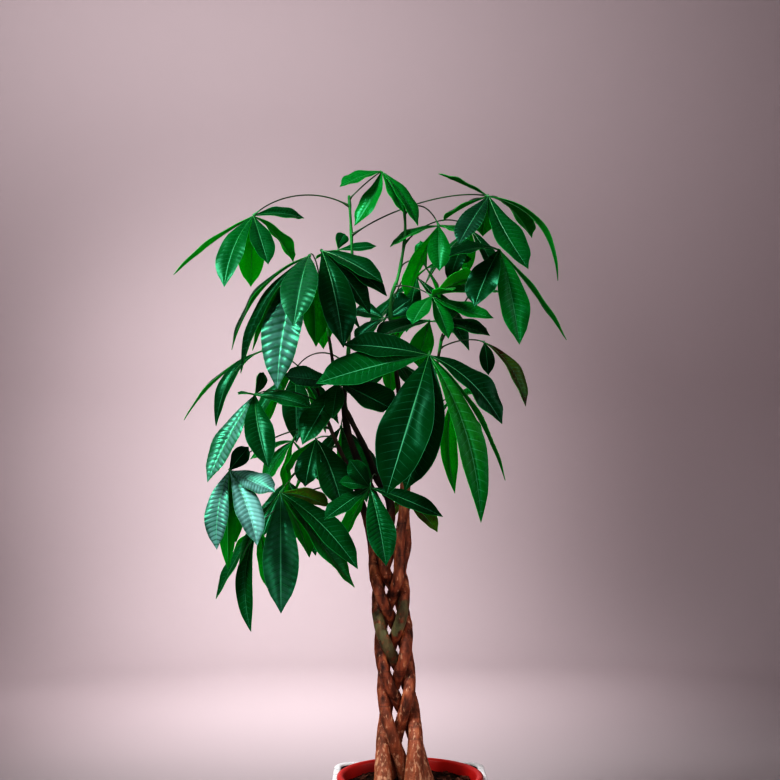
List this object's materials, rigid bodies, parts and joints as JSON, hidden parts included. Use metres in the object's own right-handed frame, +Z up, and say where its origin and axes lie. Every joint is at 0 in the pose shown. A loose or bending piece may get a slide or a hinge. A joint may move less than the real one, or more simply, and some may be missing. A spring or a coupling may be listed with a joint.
{
  "type": "potted money tree",
  "caption": "Braided-trunk money tree with long-stalked compound leaves, in a round nursery pot hung in a square cover pot.",
  "frame": {"origin": "centre of the cover pot's flat foot, on the ground", "axes": "+Z up, along the plant's height, and -Y to the side that the picture shows"},
  "size_m": [0.5085, 0.3777, 0.981],
  "materials": {
    "cover_pot": "white, satin glaze",
    "nursery_pot": "terracotta-red moulded plastic",
    "soil": "dark, loose potting soil",
    "bark": "reddish-brown bark with pale flakes",
    "leaf": "glossy, quilted, deep green"
  },
  "bodies": {
    "root": {"cover_pot": "cover_pot", "nursery_pot": "nursery_pot", "soil": "soil", "stem_1": "bark", "stem_2": "bark", "stem_3": "bark", "stem_4": "bark", "stem_5": "bark", "leaf_01": "leaf", "leaf_02": "leaf", "leaf_03": "leaf", "leaf_04": "leaf", "leaf_05": "leaf", "leaf_06": "leaf", "leaf_07": "leaf", "leaf_08": "leaf", "leaf_09": "leaf", "leaf_10": "leaf", "leaf_11": "leaf", "leaf_12": "leaf", "leaf_13": "leaf", "leaf_14": "leaf", "leaf_15": "leaf", "leaf_16": "leaf", "leaf_17": "leaf", "leaf_18": "leaf", "leaf_19": "leaf", "leaf_20": "leaf", "leaf_21": "leaf", "leaf_22": "leaf", "leaf_23": "leaf", "leaf_24": "leaf", "leaf_25": "leaf", "leaf_26": "leaf", "leaf_27": "leaf", "leaf_28": "leaf", "leaf_29": "leaf", "leaf_30": "leaf", "leaf_31": "leaf", "leaf_32": "leaf"}
  },
  "joints": []
}
